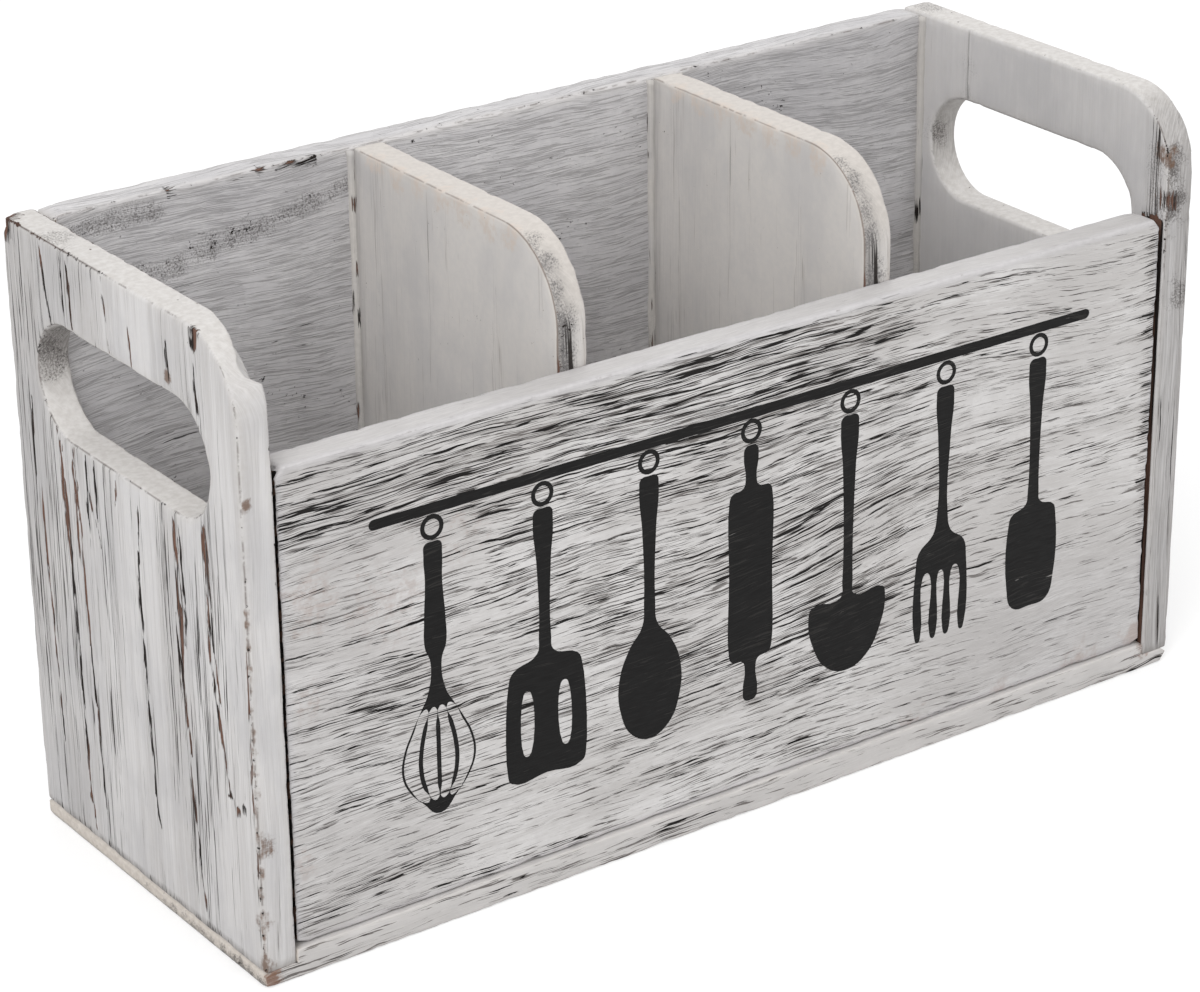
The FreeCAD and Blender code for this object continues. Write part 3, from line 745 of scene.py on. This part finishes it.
def inkSheet(panel):
    curve = bpy.data.curves.new("tool_row", "CURVE")
    curve.dimensions = "2D"
    curve.fill_mode = "FRONT"
    reach, bar, rail = inkPlan["reach"], inkPlan["bar"], inkPlan["rail"]
    arc = [math.radians(90 + 30 * k) for k in range(7)]
    ends = [(-reach + bar * math.cos(r), rail + bar * math.sin(r)) for r in arc]
    inkLoop(curve, ends + [(-u, w) for u, w in reversed(ends)], "VECTOR")
    for place, (half, openings) in enumerate(toolHalves.values()):
        x = (place - len(toolHalves) // 2) * inkPlan["pitch"]
        inkTool(curve, x, half, openings)
        z, outer, inner = inkPlan["ring"]
        inkRound(curve, x, z, outer)
        inkRound(curve, x, z, inner)
    flat = bpy.data.objects.new("tool_row", curve)
    scene.collection.objects.link(flat)
    sheet = bpy.data.meshes.new_from_object(flat)
    bpy.data.objects.remove(flat)
    bpy.data.curves.remove(curve)
    bm = bmesh.new()
    bm.from_mesh(sheet)
    bpy.data.meshes.remove(sheet)
    bmesh.ops.remove_doubles(bm, verts=bm.verts, dist=0.01)
    for axis, (low, high) in enumerate((inkPlan["across"], inkPlan["up"])):
        for step in range(int((high - low) / inkPlan["grid"])):
            point, way = [0, 0, 0], [0, 0, 0]
            point[axis] = low + (step + 0.5) * inkPlan["grid"]
            way[axis] = 1
            geom = bm.verts[:] + bm.edges[:] + bm.faces[:]
            bmesh.ops.bisect_plane(bm, geom=geom, dist=0.005, plane_co=point, plane_no=way)
    bmesh.ops.dissolve_degenerate(bm, dist=0.01, edges=bm.edges[:])
    grainLayer = bm.verts.layers.float_vector.new("grain")
    ground = bmesh.new()
    ground.from_mesh(panel.data)
    tree = BVHTree.FromBMesh(ground)
    ground.free()
    before = inkPlan["castFrom"] * mm  # rays start in front of the box
    for v in bm.verts:  # lay the film on the highest grain near each point
        x, z = v.co.x, v.co.y
        level = []
        for dx, dz in ((0, 0), (1, 0), (-1, 0), (0, 0.6), (0, -0.6)):
            hit = tree.ray_cast(Vector(((x + dx) * mm, before, (z + dz) * mm)), Vector((0, 1, 0)))[0]
            level.append(hit.y / mm)
        along, across = frontFlow(x, z, 0.0)
        v[grainLayer] = (along, across, 0.0)
        v.co = (x, min(level) - inkPlan["proud"], z)
    rise = bmesh.ops.extrude_face_region(bm, geom=bm.faces[:])["geom"]
    deep = [g for g in rise if isinstance(g, bmesh.types.BMVert)]
    bmesh.ops.translate(bm, vec=(0, inkPlan["sunk"], 0), verts=deep)
    bmesh.ops.recalc_face_normals(bm, faces=bm.faces)
    bmesh.ops.scale(bm, vec=(mm, mm, mm), verts=bm.verts)
    return bm


inkMat, inkTree, inkSkin = paintBase("printed_ink")
inkLines = useGroup(
    inkTree, hairGrain, Vector=attribute(inkTree, "grain"), Cover=inkLook["cover"], Hairs=inkLook["hairs"])
inkHair = calc(inkTree, "MULTIPLY", inkLines["Hair"], inkLook["hairRub"])
inkDash = calc(inkTree, "MULTIPLY", inkLines["Dash"], inkLook["dashRub"])
inkCoat = blend(inkTree, inkHair, inkLook["ink"], inkLook["greyed"])
inkCoat = blend(inkTree, inkDash, inkCoat, inkLook["bare"])
inkTree.links.new(inkCoat, inkSkin.inputs["Base Color"])
inkSkin.inputs["Specular IOR Level"].default_value = inkLook["shine"]
inkTree.links.new(ramp(inkTree, inkLines["Fray"], 0.3, 0.7, *inkLook["rough"]), inkSkin.inputs["Roughness"])
inkBump = inkTree.nodes.new("ShaderNodeBump")
inkBump.inputs["Strength"].default_value = inkLook["relief"]
inkBump.inputs["Distance"].default_value = inkLook["bump"] * mm
inkTree.links.new(calc(inkTree, "SUBTRACT", inkLines["Fray"], inkLines["Hair"]), inkBump.inputs["Height"])
inkTree.links.new(inkBump.outputs[0], inkSkin.inputs["Normal"])
settle(inkSheet(frontBoard), "front_design", inkMat)


# back panel: thin grey wash, fine wavy lines and flecks
backShape = {"low": (-150.0, 8.5), "high": (150.0, 180.0), "corners": (1.8, 1.8, 1.8, 1.8)}
backLook = dict(
    sideLook, paint=tone(222, 220, 220), thin=tone(203, 201, 202), hair=tone(128, 125, 125),
    mist=tone(196, 194, 196), mottle=0.5, hairs=0.08, hairDark=0.52, speck=0.03, rim=0.4, dashDark=0.8,
    relief=1.3, grey=tone(150, 148, 150), drift=0.45, shade=tone(196, 194, 196))


def backFlow(a, b, c):
    return a, b + 7.0 * wob(a / 70, b / 60, 12.0) + 0.8 * wob(a / 25, b / 15, 16.0)


def backZones(a, b, c, edgeFace):
    if edgeFace > 0.5:
        return -0.1, 0.07, 0.2
    if c < halfBoard:
        return -0.03 + 0.05 * wob(a / 50, b / 25, 3.0), 0.02, 0.0
    left = ease(-50, -75, a)
    # greyer across the top of the left bay; beside the right divider a painted shadow cast by it
    grey = 0.4 * left * ease(150, 168, b) + 0.45 * ease(50, 70, a) * ease(140, 160, b)
    return -0.1 + 0.025 * left + 0.04 * wob(a / 45, b / 25, 7.0), 0.0, grey


backPanel = {
    **boardPlan, **backShape, "soft": 1.3, "cell": (2.6, 0.8, 1.6), "seed": 47.0,
    "gap": partial(boxGap, shape=backShape), "flow": backFlow, "zones": backZones, "dash": (11.0, 1.9),
    "wave": 0.12, "groove": 0.2, "wornDepth": 0.4, "sparse": 0.72, "fine": 1.6,
    "chips": [((x, 179.7, 9.5), 2.2, 0.7, 0.14) for x in (-114.2, -85.9)]  # two dents, then a crack
    + [((x, 178.8, 10.0), 1.5, 0.35, 0.14) for x in (-79.5, -76.5, -73.5, -70.5, -68.0)],
    "smudges": [((-124.0 + 5.6 * k, 157.0 + 0.75 * k + 0.028 * k * k, 10.0), 4.8, 0.4) for k in range(13)]
    + [((-144.0 + 5.0 * k, 174.4, 10.0), 4.5, 0.36) for k in range(6)],
    "place": facing(60, -1)}
backWash = washMaterial("back_wash", backLook)
boardPiece("back_panel", backPanel, backWash)


# dividers: smoother warm paint with faint upright streaks
dividerShape = {"low": (-48.8, 8.5), "high": (50.0, 180.0), "corners": (1.6, 1.6, 25.0, 1.6)}
dividerLook = dict(
    sideLook, paint=tone(214, 210, 206), thin=tone(208, 204, 200), hair=tone(150, 143, 138),
    mist=tone(204, 201, 199), mottle=0.5, cream=tone(206, 200, 194), creamLow=tone(194, 188, 182),
    stain=tone(205, 193, 183), hairs=0.04, hairDark=0.5, speck=0.0, rim=0.5, relief=0.3,
    grey=tone(116, 114, 114), crackle=tone(104, 102, 102), drift=0.55, shade=tone(192, 190, 190),
    chip=0.0, thread=0.5, threadTone=tone(124, 112, 104), stainFray=0.5)


def dividerFlow(a, b, c):
    return b, a + 0.7 * wob(a / 30, b / 70, 24.0)


def dividerZones(a, b, c, edgeFace):
    curveWear = 0.08 + 0.12 * ease(-18, -30, a)
    if edgeFace > 0.5:
        front = ease(-26, -40, a) * ease(179, 172, b)
        low, near = ease(166, 152, b), ease(7.5, 3.5, c)
        wear = curveWear * ease(3, 0.5, c)
        return -0.07 + 0.15 * low * near, wear, front * (0.08 + (0.35 + 0.3 * low) * near)
    streak = 0.09 * hump(a, 12, 1.2) * ease(140, 160, b) + 0.09 * hump(a, 36, 4) + 0.05 * hump(a, -20, 5)
    wear = curveWear * ease(5, 2, c)
    # painted shade: a grey band in the corner by the back panel; the face also greys a little towards the
    # back
    grey = 0.35 * ease(44, 49, a) + 0.12 * ease(2, 30, a)
    return -0.15 + streak + 0.04 * wob(a / 10, b / 60, 6.0), wear, grey


def curveSkin(a, b):  # the rounded edge takes paint as the end grain does
    return ease(152, 164, b)


dividerPlan = {
    **boardPlan, **dividerShape, "soft": 1.2, "cell": (0.9, 2.0, 1.3),
    "gap": partial(boxGap, shape=dividerShape), "flow": dividerFlow, "zones": dividerZones,
    "sealed": curveSkin, "grainAxis": 1, "dash": (30.0, 1.8), "wave": 0.12, "groove": 0.2,
    "wornDepth": 0.35, "ripple": 0.01, "sparse": 1.2, "stretch": 0.35, "fine": 1.2, "faceSmudge": 0.0,
    "stains": [((38.0 - 11.0 * k, 179.0 - 0.4 * k, 0.0), 7.0, 0.55) for k in range(7)],
    "smudges": [((-35.0, 176.5, 1.5), 5.0, 0.4), ((-41.5, 172.0, 0.5), 6.5, 0.48),
                ((-46.0, 165.5, 0.5), 6.5, 0.5), ((-48.3, 158.0, 0.5), 7.5, 0.56),
                ((-48.8, 147.0, 1.0), 8.0, 0.56)]}
dividerPaint = washMaterial("divider_paint", dividerLook)
for label, start in (("left", -56.667), ("right", 46.667)):
    board = dict(dividerPlan, seed=60.0 + start / 9, place=upright(start, 1))
    boardPiece(label + "_divider", board, dividerPaint)


# bottom board: the outline is its front edge, with a lip under each side
bottomLip = {"low": (-159.8, 0.0), "high": (159.5, 4.7), "corners": (0.5, 1.2, 0.4, 1.0)}
bottomCore = {"low": (-150.0, 0.0), "high": (150.0, 8.5), "corners": (1.0, 1.0, 1.0, 1.0)}
bottomLook = dict(
    frontLook, paint=tone(208, 205, 203), cream=tone(216, 208, 199), creamLow=tone(198, 189, 179),
    stain=tone(124, 92, 74), stainDark=0.85, endSpeck=0.0, rim=0.1, thread=0.15)


def bottomGap(a, b):
    return min(boxGap(a, b, bottomLip), boxGap(a, b, bottomCore))


def bottomFlow(a, b, c):
    return a, c + b + 1.2 * wob(a / 40, c / 20, b / 10)


def bottomZones(a, b, c, edgeFace):
    if edgeFace > 0.5:
        # painted shade: a grey line along the top, in the crease under the front panel
        return -0.12, 0.03, 0.8 * ease(7.4, 8.2, b) * hump(c, 1.6, 0.7)
    return -0.06 + 0.03 * wob(a / 40, b / 6, c / 12), 0.03, 0.0


bottomBoard = {
    **boardPlan, "low": (-160.0, 0.0), "high": (160.0, 8.5), "thick": 120.0, "soft": 0.7,
    "cell": (2.0, 0.6, 1.6), "seed": 80.0, "gap": bottomGap, "flow": bottomFlow, "zones": bottomZones,
    "dash": (18.0, 1.6), "wave": 0.12, "groove": 0.15, "wornDepth": 0.35, "ripple": 0.04, "sparse": 0.62,
    "stretch": 0.8, "fine": 1.0,
    "stains": [((-158.0, 2.0, 0.0), 5.0, 0.8), ((150.0, 6.0, 0.0), 6.0, 0.5)],
    "smudges": [((-159.8, 0.5, 3.0 + 5.0 * k), 3.2, 0.7 - 0.03 * k) for k in range(14)],  # along the lip
    "place": facing(-60, 1)}
bottomWash = washMaterial("bottom_wash", bottomLook)
boardPiece("bottom_board", bottomBoard, bottomWash)


# filler beads: thin uneven strips up the inner back corners
beadLook = dict(
    sideLook, paint=tone(208, 204, 199), thin=tone(194, 190, 185), hair=tone(140, 134, 128),
    mist=tone(192, 188, 184), mottle=0.6, rim=0.0, hairs=-0.05, hairDark=0.5,
    grey=tone(100, 95, 92))
beadPlan = {
    "low": 8.5, "high": 179.0, "sink": 0.6, "pitch": 1.6, "cuts": 5, "wave": 0.25, "nick": 0.2,
    "dark": 0.4, "border": 1.15}
beadPaint = washMaterial("bead_paint", beadLook)


def beadStrip(name, turn):  # turn is 1 beside a wall to the left and -1 beside one to the right
    low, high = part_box(name)
    wallX = (low.x if turn > 0 else high.x) / mm - turn * beadPlan["sink"]
    wallY = high.y / mm + beadPlan["sink"]
    leg = (high.x - low.x) / mm + beadPlan["sink"]
    tall = beadPlan["high"] - beadPlan["low"]
    bm = bmesh.new()
    corners = [(wallX + turn * x, wallY - y, beadPlan["low"]) for x, y in ((0, 0), (leg, 0), (0, leg))]
    base = bm.faces.new([bm.verts.new(corner) for corner in corners])
    rise = bmesh.ops.extrude_face_region(bm, geom=[base])["geom"]
    tops = [g for g in rise if isinstance(g, bmesh.types.BMVert)]
    bmesh.ops.translate(bm, vec=(0, 0, tall), verts=tops)
    rims = [e for e in bm.edges if abs(e.verts[0].co.z - e.verts[1].co.z) < 1e-6]
    bmesh.ops.subdivide_edges(bm, edges=rims, cuts=beadPlan["cuts"], use_grid_fill=True)
    ups = [e for e in bm.edges if abs(e.verts[0].co.z - e.verts[1].co.z) > 1e-6]
    bmesh.ops.subdivide_edges(bm, edges=ups, cuts=round(tall / beadPlan["pitch"]))
    bmesh.ops.recalc_face_normals(bm, faces=bm.faces)
    bm.normal_update()
    grainLayer, wornLayer, zoneLayer, blotLayer = wearLayers(bm)
    moves = []
    for v in bm.verts:
        x, y, z = v.co
        lower = beadPlan["wave"] * (0.5 + wob(x / 3, y / 3, z / 9))
        lower += beadPlan["nick"] * (0.5 + wob(x, y, z / 2.5))
        dash = wob(wallX, y / 1.2, z / 8) - beadPlan["dark"] + 0.1 * ease(150, 110, z)
        border = ease(beadPlan["border"], 0.5, abs(x - wallX))  # a grey line along both walls
        border = max(border, 0.6 * ease(beadPlan["border"], 0.5, wallY - y))
        border *= 0.65 + 0.5 * wob(wallX, 2.0, z / 6)
        v[grainLayer] = (z * 0.6, x - y, 0.0)
        v[wornLayer] = (dash, 4.0, 0.0)
        v[zoneLayer] = (-0.05, 0.0, 0.0)
        v[blotLayer] = (0.0, 0.25 * ease(140, 60, z), border)
        free = beadPlan["low"] + 0.5 < z < beadPlan["high"] - 0.5  # the ends stay flat
        moves.append((v, v.normal * -max(0.0, lower) * (1 if free else 0)))
    for v, step in moves:
        v.co += step
    bmesh.ops.scale(bm, vec=(mm, mm, mm), verts=bm.verts)
    for f in bm.faces:
        f.smooth = True
    settle(bm, name, beadPaint, name)


for bay in ("left_bay", "middle_bay", "right_bay"):
    beadStrip(bay + "_left_bead", 1)
    beadStrip(bay + "_right_bead", -1)

# sunk pins keep their CAD shape and get a drawn wire finish
pinLook = {"steel": tone(150, 150, 152), "dull": tone(104, 102, 100), "rough": (0.3, 0.5)}
pinSteel, pinTree, pinSkin = paintBase("pin_wire")
pinCoords = pinTree.nodes.new("ShaderNodeTexCoord").outputs["Object"]
pinMark = cloud(pinTree, pinCoords, (900.0, 900.0, 900.0), 5.0, 3.0)
pinTree.links.new(blend(pinTree, pinMark, pinLook["dull"], pinLook["steel"]), pinSkin.inputs["Base Color"])
pinTree.links.new(ramp(pinTree, pinMark, 0.3, 0.7, *pinLook["rough"]), pinSkin.inputs["Roughness"])
pinSkin.inputs["Metallic"].default_value = 1.0
for name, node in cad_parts.items():
    if name.endswith("_pins"):
        for index in range(len(node.material_slots)):
            node.material_slots[index].material = pinSteel
print("pin finish set")


# stage, light and camera
def seenPlainly(tree):  # 1 for what the camera, a gloss or a glass sees, 0 for light on the object
    rays = tree.nodes.new("ShaderNodeLightPath").outputs
    through = calc(tree, "MAXIMUM", rays["Is Glossy Ray"], rays["Is Transmission Ray"])
    return calc(tree, "MAXIMUM", rays["Is Camera Ray"], through)


stageLook = {"half": 6.0, "floor": 0.62, "rough": 0.9, "lift": 0.42, "ambient": 0.68}
bm = bmesh.new()
bmesh.ops.create_grid(bm, x_segments=1, y_segments=1, size=stageLook["half"])
floorMesh = bpy.data.meshes.new("floor")
bm.to_mesh(floorMesh)
bm.free()
floor = bpy.data.objects.new("floor", floorMesh)
scene.collection.objects.link(floor)
floorMat, floorTree, floorSkin = paintBase("pale_floor")
floorSkin.inputs["Base Color"].default_value = (stageLook["floor"],) * 3 + (1.0,)
floorSkin.inputs["Roughness"].default_value = stageLook["rough"]
floorSkin.inputs["Specular IOR Level"].default_value = 0.0
floorSkin.inputs["Emission Color"].default_value = (1.0, 1.0, 1.0, 1.0)
floorGlow = calc(floorTree, "MULTIPLY", seenPlainly(floorTree), stageLook["lift"])
floorTree.links.new(floorGlow, floorSkin.inputs["Emission Strength"])
floorMesh.materials.append(floorMat)

world = bpy.data.worlds.new("studio")
scene.world = world
world.use_nodes = True
airTree = world.node_tree
air = airTree.nodes["Background"]
air.inputs["Color"].default_value = (1.0, 1.0, 1.0, 1.0)
airGlow = ramp(airTree, seenPlainly(airTree), 0.0, 1.0, stageLook["ambient"], 1.0)
airTree.links.new(airGlow, air.inputs["Strength"])

lamps = {  # place, size and power
    "key": ((-1.5, -1.1, 1.5), 1.4, 24.0), "fill": ((0.9, -2.0, 1.3), 1.6, 9.0),
    "top": ((-0.4, -0.2, 2.2), 1.5, 6.0), "rear": ((1.3, 1.5, 1.2), 1.4, 7.0)}
lampAim = Vector((0, 0, 0.08))
for name, (place, size, power) in lamps.items():
    light = bpy.data.lights.new(name, "AREA")
    light.shape = "DISK"
    light.size = size
    light.energy = power
    holder = bpy.data.objects.new(name, light)
    scene.collection.objects.link(holder)
    holder.location = place
    holder.rotation_euler = (lampAim - Vector(place)).to_track_quat("-Z", "Y").to_euler()

photoView = {
    "place": (-579.5, -803.3, 520.6), "turn": -35.3905, "tilt": 24.1505, "roll": -0.6726, "lens": 113.683,
    "sensor": 36.0}
turn, tilt, roll = (math.radians(photoView[k]) for k in ("turn", "tilt", "roll"))
back = Vector((math.sin(turn) * math.cos(tilt), -math.cos(turn) * math.cos(tilt), math.sin(tilt)))
right = (-back).cross(Vector((0, 0, 1))).normalized()
up = right.cross(-back)
side = math.cos(roll) * right + math.sin(roll) * up
top = -math.sin(roll) * right + math.cos(roll) * up
camera = bpy.data.cameras.new("photo_camera")
camera.sensor_fit = "HORIZONTAL"
camera.sensor_width = photoView["sensor"]
camera.lens = photoView["lens"]
camera.clip_start = 0.01
camera.clip_end = 100.0
eye = bpy.data.objects.new("photo_camera", camera)
scene.collection.objects.link(eye)
at = Vector(photoView["place"]) * mm
eye.matrix_world = Matrix((
    (side.x, top.x, back.x, at.x), (side.y, top.y, back.y, at.y),
    (side.z, top.z, back.z, at.z), (0, 0, 0, 1)))
scene.camera = eye
scene.view_settings.view_transform = "Standard"
print("stage, lights and camera set")
